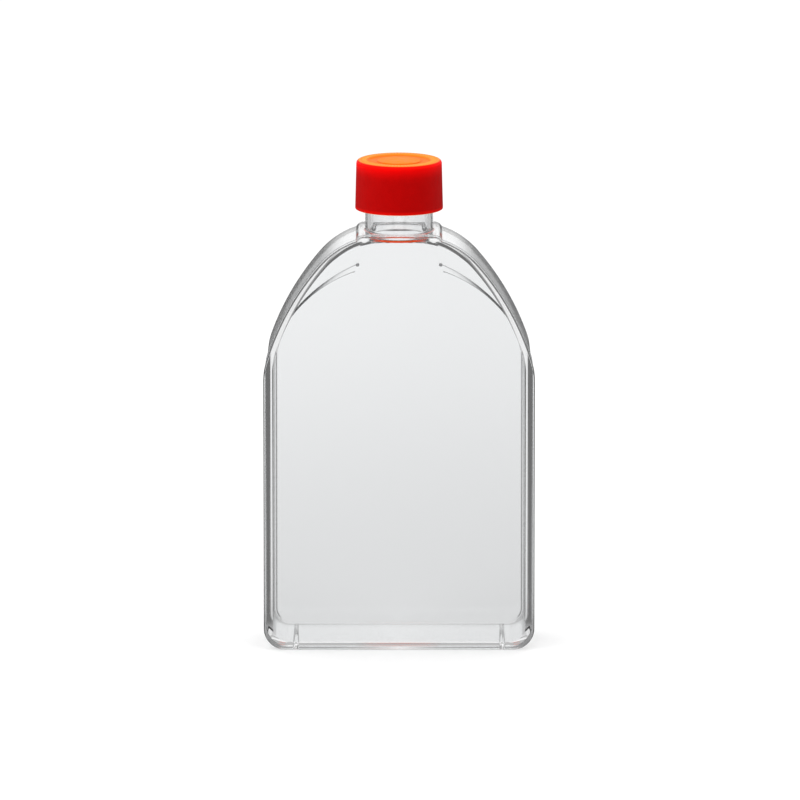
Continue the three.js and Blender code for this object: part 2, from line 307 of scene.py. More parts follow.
def finish_shading(piece, angle=35):
    """Smooth faces with sharp edges past the angle in degrees, and normals that follow the large
    faces."""
    work = bmesh.new()
    work.from_mesh(piece.data)
    bmesh.ops.remove_doubles(work, verts=work.verts, dist=WELDED)
    bmesh.ops.dissolve_degenerate(work, edges=work.edges, dist=WELDED)
    limit = math.radians(angle)
    for edge in work.edges:
        edge.smooth = len(edge.link_faces) == 2 and edge.calc_face_angle(0.0) < limit
    for face in work.faces:
        face.smooth = True
    work.to_mesh(piece.data)
    work.free()
    modifier = piece.modifiers.new("normals", "WEIGHTED_NORMAL")
    modifier.keep_sharp = True
    modifier.weight = 100


# ---------------------------------------------------------------- the tray

WALL_AT_RIM = (HALF_WIDTH - RIM_OVERHANG, RIM_OVERHANG)  # side, bottom
WALL_AT_FLOOR = (WALL_AT_RIM[0] - WALL_DRAFT, WALL_AT_RIM[1] + WALL_DRAFT)


def drafted(y):
    """Side and bottom of the walls' outside at a depth."""
    t = (y - WELD - RIM_THICKNESS) / (BACK - WELD - RIM_THICKNESS)
    return tuple(a + (b - a) * t for a, b in zip(WALL_AT_RIM, WALL_AT_FLOOR))


def tray_outside():
    rim_back = WELD + RIM_THICKNESS
    rings = [(WELD, body_outline(HALF_WIDTH, 0.0))]
    for sine, cosine in quarter_turn(4):
        rings.append((rim_back - RIM_EDGE * (1 - sine),
                      body_outline(HALF_WIDTH, 0.0, RIM_EDGE * (1 - cosine))))
    for sine, cosine in quarter_turn(4):
        rings.append((rim_back + RIM_FILLET * (1 - cosine),
                      body_outline(*WALL_AT_RIM, -RIM_FILLET * (1 - sine))))
    side, bottom = drafted(BACK - BACK_EDGE)
    for sine, cosine in quarter_turn(8):
        rings.append((BACK - BACK_EDGE * (1 - sine),
                      body_outline(side, bottom, BACK_EDGE * (1 - cosine))))
    return loft_along_y("flask_tray", rings)


def inner_outline(y, extra=0.0):
    """The hollow's outline at a depth, drawn in by extra."""
    side, bottom = drafted(y)
    return body_outline(side, bottom + END_WALL - SIDE_WALL, SIDE_WALL + extra, collar=False)


def hollow(raised=0.0):
    """The inside, open towards the plate, with its floor raised by some height."""
    mouth = inner_outline(WELD)
    rings = [(FRONT, mouth), (WELD + 0.01, mouth)]
    for sine, cosine in quarter_turn(8):
        rings.append((FLOOR - raised - FLOOR_FILLET * (1 - sine),
                      inner_outline(FLOOR, FLOOR_FILLET * (1 - cosine))))
    return loft_along_y("hollow", rings)


def neck_solid():
    """The neck without its bore. The fillet at its foot runs on a little way into the collar."""
    root = COLLAR_TOP - NECK_ROOT
    profile = [(0.0, root), (NECK_RADIUS + NECK_FILLET * 0.7, root)]
    profile += rounding((NECK_RADIUS + NECK_FILLET, COLLAR_TOP + NECK_FILLET * 0.98), NECK_FILLET,
                        1.45 * math.pi, math.pi, 6)
    profile += rounding((NECK_RADIUS - LIP, MOUTH - LIP), LIP, 0, math.pi / 2, 6)
    profile += [(0.0, MOUTH)]
    return turned("neck", profile, ROUND)


def bore_solid():
    """What is cut out of the neck and the top wall, with its rounded ends."""
    ceiling = dome_centre[1] + DOME_RADIUS - SIDE_WALL  # inside of the top wall
    wide = BORE_RADIUS + BORE_EDGE
    profile = [(0.0, ceiling - 2 * PAST), (wide, ceiling - 2 * PAST)]
    profile += rounding((wide, ceiling + BORE_EDGE), BORE_EDGE, 1.5 * math.pi, math.pi, 5)
    wide = BORE_RADIUS + MOUTH_CHAMFER
    profile += rounding((wide, MOUTH - MOUTH_CHAMFER), MOUTH_CHAMFER, math.pi, math.pi / 2, 5)
    profile += [(wide, MOUTH + PAST), (0.0, MOUTH + PAST)]
    return turned("bore", profile, ROUND)


# the thread's section: (share of its height, distance along Z in mm)
THREAD_SECTION = ((-0.6, -1.15), (0.0, -1.1), (0.55, -0.72), (0.9, -0.5), (1.0, -0.3),
                  (1.0, 0.3), (0.9, 0.5), (0.55, 0.72), (0.0, 1.1), (-0.6, 1.15))


def thread_solid(name, root, crest, top):
    """A ridge from the root radius to the crest radius that climbs about Z to the height top and
    fades at both ends."""
    verts = []
    steps = int(THREAD_TURNS * THREAD_SEGMENTS)
    for i in range(steps + 1):
        turn = i / THREAD_SEGMENTS
        left = THREAD_TURNS - turn
        risen = min(1.0, turn / THREAD_FADE, left / THREAD_FADE)
        risen = THREAD_END + (1 - THREAD_END) * math.sin(risen * math.pi / 2)
        width = THREAD_END_WIDTH + (1 - THREAD_END_WIDTH) * risen
        a = turn * 2 * math.pi
        z = top - THREAD_PITCH * left
        for share, dz in THREAD_SECTION:
            r = root + (crest - root) * (share * risen if share > 0 else share)
            verts.append((r * math.cos(a), r * math.sin(a), z + dz * width))
    count = len(THREAD_SECTION)
    faces = ring_faces(steps + 1, count)
    faces.append(tuple(range(count)))
    faces.append(tuple(steps * count + i for i in range(count)))
    return mesh_object(name, verts, faces)


def step_lines():
    """Foot and head of the step, each as (centre, radius)."""
    fall = FOOT_ARC_TOP - STEP_END_Z
    foot_radius = (STEP_END_X ** 2 + fall ** 2) / (2 * fall)
    head_radius = foot_radius + HEAD_ARC_EXTRA
    rise = math.sqrt(head_radius ** 2 - (STEP_END_X - HEAD_ARC_X) ** 2)
    foot = ((0.0, FOOT_ARC_TOP - foot_radius), foot_radius)
    head = ((HEAD_ARC_X, STEP_END_Z + STEP_END_RUN - rise), head_radius)
    return foot, head


CHANNEL_FOOT = 19.7  # half the pouring channel's width along the step's foot
CHANNEL_HEAD = 17.9
CHANNEL_TOP = 9.8  # and at the height of the collar's top

# where the step's foot and head go on past their arcs, down into the side walls
FOOT_TAIL = ((50.6, 134.6), (51.6, 131.6), (52.5, 128.4), (53.3, 125.0), (54.0, 121.6),
             (54.5, 118.8), (55.2, 115.5))
HEAD_TAIL = ((51.2, 137.4), (52.3, 134.7), (53.2, 132.1), (54.0, 129.4), (54.7, 126.6),
             (55.3, 123.8), (56.0, 120.5))

EDGE_WIDENING = 0.9  # of the step's steep edges, at its narrow end


def step_outline(t):
    """One raised shoulder floor in plan: t is 0 at the step's foot and 1 at its head."""
    foot, head = step_lines()
    edge = []
    count = ARC_SEGMENTS["step"]
    for i in range(count + 1):
        along = i / count
        # the steep edges widen where the step gets narrow
        share = t + EDGE_WIDENING * along * math.sin(2 * math.pi * t) / (2 * math.pi)
        centre = [a + (b - a) * share for a, b in zip(foot[0], head[0])]
        radius = foot[1] + (head[1] - foot[1]) * share
        channel = CHANNEL_FOOT + (CHANNEL_HEAD - CHANNEL_FOOT) * share
        start = math.acos((channel - centre[0]) / radius)
        end = math.acos((ARC_END_X - centre[0]) / radius)
        angle = start + (end - start) * along
        edge.append(np.array([centre[0] + radius * math.cos(angle),
                              centre[1] + radius * math.sin(angle)]))
    for foot_point, head_point in zip(FOOT_TAIL, HEAD_TAIL):
        edge.append(np.array([a + (b - a) * t for a, b in zip(foot_point, head_point)]))
    return edge + [np.array([HALF_WIDTH, edge[-1][1]]), np.array([HALF_WIDTH, COLLAR_TOP]),
                   np.array([CHANNEL_TOP, COLLAR_TOP])]


# (run, rise) up the step: steep small edges at its foot and head, and a gentle ramp between
STEP_SLOPE = ((0.0, 0.0), (0.01, 0.02), (0.025, 0.09), (0.045, 0.2), (0.065, 0.27),
              (0.085, 0.30), (0.11, 0.31), (0.5, 0.42), (0.88, 0.55), (0.9, 0.56),
              (0.92, 0.60), (0.94, 0.70), (0.96, 0.84), (0.98, 0.96), (1.0, 1.0))


def loft_on_side(name, rings, side):
    """A loft of rings drawn for the right (side 1), or its mirror image (side -1)."""
    if side < 0:
        rings = [(y, flipped(points)) for y, points in rings]
    return loft_along_y(name, rings)


def shoulder_step(side):
    """A raised floor. It is rooted in the tray's floor, and its slope starts just under the growth
    surface."""
    rooted = 0.8
    sunk = 0.02
    rings = [(FLOOR + rooted, step_outline(0.0))]
    for t, share in STEP_SLOPE:
        rings.append((FLOOR + sunk - (STEP_HEIGHT + sunk) * share, step_outline(t)))
    return loft_on_side("step", rings, side)


def shoulder_cove(side):
    """The hollow rounding between a raised floor and the wall."""
    top = FLOOR - STEP_HEIGHT
    edge = step_outline(1.0)
    cove = loft_on_side("cove", [(top - FLOOR_FILLET, edge), (top + PAST / 2, edge)], side)
    return combine(cove, hollow(STEP_HEIGHT), "DIFFERENCE")


def pin_mark(place, wide, narrow, base, height):
    """A small blunt cone that stands on the floor and points at the plate."""
    rows = ((base + 0.5, wide), (base, wide), (base - height * 0.5, (wide + narrow) / 2),
            (base - height, narrow), (base - height - narrow * 0.5, narrow * 0.5))
    rings = [(y, arc(place, radius, 0, 2 * math.pi, 20)[:-1]) for y, radius in rows]
    return loft_along_y("mark", rings)


def shoulder_floor():
    """Both raised shoulder floors, with a pin mark at each end of the step's foot and head."""
    kept = body_outline(*WALL_AT_FLOOR, SIDE_WALL / 2, collar=False)
    within = loft_along_y("within", [(WELD, kept), (BACK, kept)])
    both = combine(shoulder_step(1), shoulder_step(-1), "UNION")
    for side in (1, -1):
        combine(both, shoulder_cove(side), "UNION")
    foot_end = step_outline(0.0)[0]
    head_end = step_outline(1.0)[0]
    sunk = 0.1  # the marks' bases lie under the floors
    for side in (1, -1):
        head = (side * (head_end[0] + 0.3), head_end[1] - 0.6)
        combine(both, pin_mark(head, 0.8, 0.12, FLOOR - STEP_HEIGHT + sunk, 1.0), "UNION")
        foot = (side * (foot_end[0] + 0.1), foot_end[1] + 0.2)
        combine(both, pin_mark(foot, 0.5, 0.1, FLOOR + sunk, 0.7), "UNION")
    return combine(both, within, "INTERSECT")


def foot_rib(side):
    """A rib under the end wall, rounded below and a little higher at its ends."""
    top = WALL_AT_FLOOR[1] + RIB_SUNK
    start = WELD + RIM_THICKNESS - RIB_SUNK
    end = BACK - BACK_EDGE
    rows = ((start, RIB_END_RISE), (start + RIB_END_RUN, 0.0), (0.0, 0.0),
            (end - RIB_END_RUN, 0.0), (end, RIB_END_RISE))
    rings = []
    for y, low in rows:
        share = (y - start) / (end - start)
        half = (RIB_FRONT + (RIB_BACK - RIB_FRONT) * share) / 2
        points = []
        for k in range(9):
            a = math.pi + math.pi * k / 8
            points.append(np.array([side * RIB_X + half * math.cos(a),
                                    low + RIB_ROUNDING + RIB_ROUNDING * math.sin(a)]))
        points.append(np.array([side * RIB_X + half, top]))
        points.append(np.array([side * RIB_X - half, top]))
        rings.append((y, points))
    return loft_along_y("rib", rings)


def make_tray():
    tray = tray_outside()
    combine(tray, neck_solid(), "UNION")
    combine(tray, thread_solid("neck_thread", NECK_RADIUS, NECK_RADIUS + THREAD_HEIGHT,
                               MOUTH - THREAD_TOP), "UNION")
    combine(tray, hollow(), "DIFFERENCE")
    combine(tray, shoulder_floor(), "UNION")
    combine(tray, bore_solid(), "DIFFERENCE")
    for side in (-1, 1):
        combine(tray, foot_rib(side), "UNION")
    finish_shading(tray)
    return tray


# ---------------------------------------------------------------- the cover plate

def make_plate():
    """The plate. Its back is a ring that is welded to the rim, and the inside within it."""
    rings = []
    for sine, cosine in reversed(quarter_turn(4)):
        rings.append((FRONT + RIM_EDGE * (1 - sine),
                      body_outline(HALF_WIDTH, 0.0, RIM_EDGE * (1 - cosine))))
    rings.append((WELD, body_outline(HALF_WIDTH, 0.0)))
    plate = loft_along_y("cover_plate", rings)
    # a hair-thin step splits the back into the welded ring and the inside
    inner = inner_outline(WELD)
    cutter = loft_along_y("inner", [(WELD - HAIR, inner), (WELD + PAST, inner)])
    combine(plate, cutter, "DIFFERENCE")
    finish_shading(plate)
    return plate


# ---------------------------------------------------------------- the cap

CAP_DRAFT = 0.5  # the top's radius is this much smaller than the skirt's
CAP_WALL = 1.9
CAP_TOP_THICKNESS = 2.0
CAP_EDGE = 1.6  # rounding between the side and the top
CROWN_FILLET = 0.8  # and on the inside
SKIRT_BEVEL = 0.8  # the mouth of the skirt, inside
SKIRT_EDGE = 0.5  # and outside
PLUG_CLEARANCE = 0.3
PLUG_WALL = 1.3
PLUG_LENGTH = 5.0
PLUG_TAPER = 1.2  # length of the plug's narrowed end
PLUG_FILLET = 0.5  # hollow rounding at its root
RIM_WIDTH = 4.6  # the ring around the recess in the top
RECESS_DEPTH = 0.7
RECESS_EDGE = 0.3  # rounding of the edges of the recess and the disc
DISC_RADIUS = 9.7
DISC_RISE = 0.35
TICKS = 72
TICK_DEPTH = 0.25
CAP_THREAD_CREST = NECK_RADIUS + THREAD_HEIGHT + 0.1


def tick_dent(r, z, angle):
    """How deep the fine radial notches in the top's rim are at a point."""
    if z < CAP_TOP - 0.01:
        return 0.0
    start = SKIRT_RADIUS - CAP_DRAFT - RIM_WIDTH
    end = SKIRT_RADIUS - CAP_DRAFT - CAP_EDGE
    share = (r - start) / (end - start)
    # they rise over a tenth of the rim's width, and fade towards its outer edge
    window = min(1.0, max(0.0, (share - 0.12) / 0.1), max(0.0, (0.99 - share) / 0.12))
    return TICK_DEPTH * window * (0.5 - 0.5 * math.cos(TICKS * angle))


def cap_profile():
    """Half the cap's section, from the middle of its ceiling: around the plug, along the ceiling,
    down inside the skirt, up its outside and back over the top."""
    top_radius = SKIRT_RADIUS - CAP_DRAFT
    skirt_inner = SKIRT_RADIUS - CAP_WALL
    crown_inner = top_radius - CAP_WALL
    ceiling = CAP_TOP - CAP_TOP_THICKNESS
    plug = BORE_RADIUS - PLUG_CLEARANCE
    recess = top_radius - RIM_WIDTH
    recess_floor = CAP_TOP - RECESS_DEPTH
    quarter = math.pi / 2
    profile = [(0.0, ceiling)]
    profile += rounding((plug - PLUG_WALL - PLUG_FILLET, ceiling - PLUG_FILLET), PLUG_FILLET,
                        quarter, 0, 3)
    profile += rounding((plug - PLUG_WALL / 2, ceiling - PLUG_LENGTH + PLUG_WALL / 2),
                        PLUG_WALL / 2, 2 * quarter, 3 * quarter, 4)
    profile += [(plug, ceiling - PLUG_LENGTH + PLUG_TAPER), (plug, ceiling - PLUG_FILLET)]
    profile += rounding((plug + PLUG_FILLET, ceiling - PLUG_FILLET), PLUG_FILLET,
                        2 * quarter, quarter, 3)[1:]
    profile += rounding((crown_inner - CROWN_FILLET, ceiling - CROWN_FILLET), CROWN_FILLET,
                        quarter, 0, 4)
    profile += [(skirt_inner, CAP_BOTTOM + SKIRT_BEVEL),
                (skirt_inner + SKIRT_BEVEL * 0.8, CAP_BOTTOM)]
    profile += rounding((SKIRT_RADIUS - SKIRT_EDGE, CAP_BOTTOM + SKIRT_EDGE), SKIRT_EDGE,
                        3 * quarter, 4 * quarter, 5)
    profile += rounding((top_radius - CAP_EDGE, CAP_TOP - CAP_EDGE), CAP_EDGE, 0, quarter, 10)
    # points between for the ticks
    for r in np.linspace(top_radius - CAP_EDGE, recess + RECESS_EDGE, 12)[1:-1]:
        profile.append((r, CAP_TOP))
    profile += rounding((recess + RECESS_EDGE, CAP_TOP - RECESS_EDGE), RECESS_EDGE,
                        quarter, 1.6 * quarter, 3)
    profile += [(recess - RECESS_DEPTH * 0.7, recess_floor), (DISC_RADIUS + 0.5, recess_floor)]
    profile += rounding((DISC_RADIUS - RECESS_EDGE, recess_floor + DISC_RISE - RECESS_EDGE),
                        RECESS_EDGE, 0, quarter, 3)
    return profile + [(0.0, recess_floor + DISC_RISE)]


def make_cap():
    cap = turned("cap", cap_profile(), TICKS * 8, tick_dent)
    sunk = 0.2  # the thread's root lies in the skirt
    combine(cap, thread_solid("cap_thread", SKIRT_RADIUS - CAP_WALL - sunk, CAP_THREAD_CREST,
                              MOUTH - THREAD_TOP - THREAD_PITCH / 2), "UNION")
    finish_shading(cap, 40)
    return cap


# ---------------------------------------------------------------- node helpers

def principled(name):
    """A new material with its node tree and its shader."""
    material = bpy.data.materials.new(name)
    material.use_nodes = True
    tree = material.node_tree
    return material, tree, tree.nodes["Principled BSDF"]


def feed(tree, socket, value):
    """Gives a socket a number, a colour or what another socket puts out."""
    if isinstance(value, bpy.types.NodeSocket):
        tree.links.new(value, socket)
    elif isinstance(value, tuple):
        socket.default_value = (*value, 1)
    else:
        socket.default_value = value


def math_node(tree, operation, *values):
    node = tree.nodes.new("ShaderNodeMath")
    node.operation = operation
    for socket, value in zip(node.inputs, values):
        feed(tree, socket, value)
    return node.outputs[0]


def product(tree, first, second):
    return math_node(tree, "MULTIPLY", first, second)


def split_xyz(tree, vector):
    node = tree.nodes.new("ShaderNodeSeparateXYZ")
    tree.links.new(vector, node.inputs[0])
    return tuple(node.outputs)


def length_of(tree, vector):
    node = tree.nodes.new("ShaderNodeVectorMath")
    node.operation = "LENGTH"
    tree.links.new(vector, node.inputs[0])
    return node.outputs["Value"]


def map_range(tree, value, low, high, to_low=0.0, to_high=1.0, smooth=True):
    """Turns low..high into to_low..to_high, and keeps what lies past them at their ends."""
    node = tree.nodes.new("ShaderNodeMapRange")
    if smooth:
        node.interpolation_type = "SMOOTHSTEP"
    tree.links.new(value, node.inputs["Value"])
    for name, number in (("From Min", low), ("From Max", high), ("To Min", to_low),
                         ("To Max", to_high)):
        node.inputs[name].default_value = number
    return node.outputs[0]


def blend(tree, share, first, second):
    """From the first number to the second."""
    node = tree.nodes.new("ShaderNodeMix")
    for index, value in ((0, share), (2, first), (3, second)):
        feed(tree, node.inputs[index], value)
    return node.outputs[0]


def colour_mix(tree, share, first, second):
    """From the first colour to the second."""
    node = tree.nodes.new("ShaderNodeMix")
    node.data_type = "RGBA"
    for index, value in ((0, share), (6, first), (7, second)):
        feed(tree, node.inputs[index], value)
    return node.outputs[2]


def shader_mix(tree, share, first, second):
    """From the first shader to the second."""
    node = tree.nodes.new("ShaderNodeMixShader")
    for socket, value in zip(node.inputs, (share, first, second)):
        tree.links.new(value, socket)
    return node.outputs[0]


def ramp(tree, value, stops):
    """A Color Ramp of (position, colour) stops."""
    node = tree.nodes.new("ShaderNodeValToRGB")
    tree.links.new(value, node.inputs[0])
    elements = node.color_ramp.elements
    while len(elements) < len(stops):
        elements.new(0.5)
    for element, (position, colour) in zip(elements, stops):
        element.position = position
        element.color = (*colour, 1)
    return node.outputs["Color"]


def noise(tree, place, scale, detail=2.0):
    node = tree.nodes.new("ShaderNodeTexNoise")
    tree.links.new(place, node.inputs["Vector"])
    node.inputs["Scale"].default_value = scale
    node.inputs["Detail"].default_value = detail
    return node.outputs["Fac"]


# ---------------------------------------------------------------- the clear plastic

# the plastic's own faint tint, and the painted shade that its rounded edges and fillets are darkened
# towards
CLEAR_COLOUR = (0.945, 0.951, 0.955)
EDGE_SHADE_COLOUR = (0.06, 0.06, 0.063)
EDGE_SHADE_SHARE = 0.92  # how far edges go from the one to the other
TRAPPED = 3.5  # light reflected more often than this hasn't found a way out, and the renderer stops at 4


def painted_edge_shade(tree, coords):
    """How much painted edge shade the plastic gets, as dark lines painted into its colour: rounded
    edges, fillets and the steep faces of the step have faces that lean, so they are found by how far the
    normal turns from Y."""
    side_top, collar, half_width = SIDE_HEIGHT * MM, COLLAR_TOP * MM, HALF_WIDTH * MM
    x, _, z = split_xyz(tree, coords.outputs["Object"])
    aside = math_node(tree, "ABSOLUTE", x)
    tilt = math_node(tree, "ABSOLUTE", split_xyz(tree, coords.outputs["Normal"])[1])
    # on the shoulders, and on the rim's outer edge down the sides, all of the rounding
    leaning = product(tree, map_range(tree, tilt, 0.2, 0.4),
                      map_range(tree, tilt, 0.93, 0.985, 1.0, 0.0))
    below_collar = map_range(tree, z, collar - 0.013, collar - 0.005, EDGE_SHADE_SHARE, 0.0)
    shoulders = map_range(tree, z, side_top - 0.007, side_top + 0.011)
    rim = map_range(tree, aside, half_width - 0.002, half_width - 0.0008)
    where = product(tree, below_collar, math_node(tree, "MAXIMUM", shoulders, rim))
    # inside along the sides, only the middle of the fillet
    middle = product(tree, map_range(tree, tilt, 0.64, 0.78),
                     map_range(tree, tilt, 0.88, 0.96, EDGE_SHADE_SHARE, 0.0))
    beside = map_range(tree, aside, half_width - 0.008, half_width - 0.006)
    low = map_range(tree, z, side_top + 0.011, side_top + 0.017, 1.0, 0.0)
    return math_node(tree, "MAXIMUM", product(tree, leaning, where),
                     product(tree, product(tree, middle, beside), low))


def clear_plastic():
    """Polystyrene with faint flow marks in its gloss. Shadow rays pass it, and trapped light is let
    out straight."""
    material, tree, shader = principled("clear_polystyrene")
    shader.inputs["IOR"].default_value = 1.59
    shader.inputs["Transmission Weight"].default_value = 1.0
    coords = tree.nodes.new("ShaderNodeTexCoord")
    flow = noise(tree, coords.outputs["Object"], 60.0, 4.0)
    tree.links.new(map_range(tree, flow, 0.35, 0.65, 0.008, 0.022), shader.inputs["Roughness"])
    # painted shade: dark lines painted into the colour at the edges and fillets
    tree.links.new(colour_mix(tree, painted_edge_shade(tree, coords), CLEAR_COLOUR, EDGE_SHADE_COLOUR),
                   shader.inputs["Base Color"])
    path = tree.nodes.new("ShaderNodeLightPath").outputs
    clear = tree.nodes.new("ShaderNodeBsdfTransparent")
    clear.inputs["Color"].default_value = (0.99, 0.99, 0.99, 1)
    trapped = math_node(tree, "GREATER_THAN", path["Glossy Depth"], TRAPPED)
    seen = shader_mix(tree, trapped, shader.outputs[0], clear.outputs[0])
    surface = shader_mix(tree, path["Is Shadow Ray"], seen, clear.outputs[0])
    tree.links.new(surface, tree.nodes["Material Output"].inputs["Surface"])
    return material


def weld_material():
    """The two faces of the weld, which light passes as if they weren't there."""
    material, tree, shader = principled("weld")
    tree.nodes.remove(shader)
    clear = tree.nodes.new("ShaderNodeBsdfTransparent")
    tree.links.new(clear.outputs[0], tree.nodes["Material Output"].inputs["Surface"])
    return material


def mark_weld(piece):
    """Gives the faces that lie in the weld the second material."""
    for face in piece.data.polygons:
        if abs(face.normal.y) > 0.99 and abs(face.center.y / MM - WELD) < HAIR / 4:
            face.material_index = 1


# ---------------------------------------------------------------- the cap's plastic

# colours of the top by distance from the middle, as a share of the skirt's radius: lit orange, with a
# painted shadow ring at 0.51 where the plug lies under the top, darker across the recess and lighter on
# the raised rim
TOP_COLOURS = ((0.0, (0.95, 0.23, 0.012)), (0.47, (0.93, 0.21, 0.01)), (0.51, (0.80, 0.13, 0.003)),
               (0.56, (0.88, 0.17, 0.006)), (0.70, (0.88, 0.17, 0.006)), (0.745, (0.95, 0.29, 0.04)),
               (0.80, (0.97, 0.34, 0.06)), (0.93, (0.95, 0.27, 0.03)))
# and of the side by height, from 0 at the bottom to 1 at the top: painted light, a lighter band at the
# lip and a painted highlight that grows towards the top edge
SIDE_COLOURS = ((0.0, (0.58, 0.001, 0.0)), (0.05, (0.52, 0.001, 0.0)), (0.08, (0.36, 0.0, 0.0)),
                (0.64, (0.365, 0.0, 0.0)), (0.725, (0.395, 0.0, 0.0)), (0.815, (0.51, 0.0, 0.0)),
                (0.904, (0.68, 0.0, 0.0)), (0.94, (0.78, 0.001, 0.0)))
BLACK, WHITE = (0.0, 0.0, 0.0), (1.0, 1.0, 1.0)
# share of the painted highlight by how far the normal points up
UPWARD = ((0.0, BLACK), (0.15, BLACK), (0.45, WHITE), (1.0, WHITE))
# painted shade in the notches of the top's rim
NOTCH_SHADE_COLOUR = (0.85, 0.13, 0.004)
# painted highlight on the rounded edge between the side and the top
HIGHLIGHT_RED = (0.95, 0.004, 0.002)
# painted light on the faces that look down
LIT_UNDERSIDE_COLOUR = (1.0, 0.24, 0.03)
GLOW_COLOUR = (1.0, 0.13, 0.02)
INSIDE_GLOW = 0.42
TOP_LAYER = (CAP_TOP - 1.5) * MM  # above this height lies the top


def cap_colour(tree, coords, radius):
    """Painted light and shade: deep red where the cap stands upright, lit orange where light comes down
    on it, a painted highlight on the rounded top edge and painted light on the faces that look down.
    """
    x, y, z = split_xyz(tree, coords.outputs["Object"])
    upright = split_xyz(tree, coords.outputs["Normal"])[2]
    # painted shade: the notches of the rim are darker
    spokes = math_node(tree, "COSINE", product(tree, math_node(tree, "ARCTAN2", y, x), TICKS))
    ticks = product(tree, math_node(tree, "GREATER_THAN", radius, 0.77),
                    map_range(tree, spokes, -1.0, 1.0, 0.35, 0.0))
    top = colour_mix(tree, ticks, ramp(tree, radius, TOP_COLOURS), NOTCH_SHADE_COLOUR)
    # painted light: the side is lighter at the lip and has a painted highlight towards the top edge
    side = ramp(tree, map_range(tree, z, CAP_BOTTOM * MM, CAP_TOP * MM, smooth=False),
                SIDE_COLOURS)
    colour = colour_mix(tree, ramp(tree, upright, UPWARD), side, HIGHLIGHT_RED)
    # painted light: the top and the faces that look up take the lit orange
    on_top = product(tree, math_node(tree, "LESS_THAN", radius, 0.86),
                     math_node(tree, "GREATER_THAN", z, TOP_LAYER))
    facing = math_node(tree, "MAXIMUM", on_top, map_range(tree, upright, 0.8, 0.97))
    colour = colour_mix(tree, facing, colour, top)
    # painted light on the faces that look down
    downward = map_range(tree, upright, -0.9, -0.4, 1.0, 0.0)
    return colour_mix(tree, downward, colour, LIT_UNDERSIDE_COLOUR)


def cap_plastic():
    """Satin polyethylene with clouds in its tint and gloss and a fine grain."""
    material, tree, shader = principled("orange_polyethylene")
    shader.inputs["Specular IOR Level"].default_value = 0.03
    shader.inputs["Emission Color"].default_value = (*GLOW_COLOUR, 1)
    coords = tree.nodes.new("ShaderNodeTexCoord")
    place = coords.outputs["Object"]
    x, y, z = split_xyz(tree, place)
    away = math_node(tree, "SQRT", math_node(tree, "ADD", product(tree, x, x),
                                             product(tree, y, y)))
    radius = math_node(tree, "DIVIDE", away, SKIRT_RADIUS * MM)
    cloud = noise(tree, place, 260.0, 3.0)
    tint = tree.nodes.new("ShaderNodeVectorMath")
    tint.operation = "SCALE"
    tree.links.new(cap_colour(tree, coords, radius), tint.inputs[0])
    tree.links.new(map_range(tree, cloud, 0.3, 0.7, 0.97, 1.03), tint.inputs["Scale"])
    tree.links.new(tint.outputs[0], shader.inputs["Base Color"])
    tree.links.new(map_range(tree, cloud, 0.3, 0.7, 0.38, 0.5), shader.inputs["Roughness"])
    bump = tree.nodes.new("ShaderNodeBump")
    bump.inputs["Strength"].default_value = 0.06
    bump.inputs["Distance"].default_value = 0.0001
    tree.links.new(noise(tree, place, 2500.0), bump.inputs["Height"])
    tree.links.new(bump.outputs[0], shader.inputs["Normal"])
    # painted glow: emission stands in for the daylight that comes through the thin skirt, so its inside
    # is never dark
    inside = product(tree, math_node(tree, "LESS_THAN", radius, 0.906),
                     math_node(tree, "LESS_THAN", z, TOP_LAYER))
    tree.links.new(product(tree, inside, INSIDE_GLOW), shader.inputs["Emission Strength"])
    return material


# ---------------------------------------------------------------- pieces

def give_materials(piece, *materials):
    piece.data.materials.clear()
    for material in materials:
        piece.data.materials.append(material)


glass = clear_plastic()
weld = weld_material()
red = cap_plastic()

tray = make_tray()
give_materials(tray, glass, weld)
mark_weld(tray)
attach(tray, "flask")
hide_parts("flask_body")

plate = make_plate()
give_materials(plate, glass, weld)
mark_weld(plate)
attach(plate, "flask")
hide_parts("top_plate")

cap = make_cap()
give_materials(cap, red)
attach(cap, "cap")
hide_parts("screw_cap")

# ---------------------------------------------------------------- studio

CARDS = 8  # bright cards around the set, with a dark one between each two
BRIGHT_CARD = 0.95
DARK_CARD = 0.05
NEAR_FLOOR = 0.88  # brightness of the floor near the flask, before the cards begin
CARDS_FROM, CARDS_FULL = 0.2, 0.5  # distances from the flask, in m
FLAG_LOSS = 0.68  # share of the light that the flags at both sides of the set take away
FLOOR_GLOSS = 0.15  # brightness of the floor as the flask's outside mirrors it
WALL_LIGHT = 1.12
FLOOR_HALF = 6.0  # half the floor's width, in m


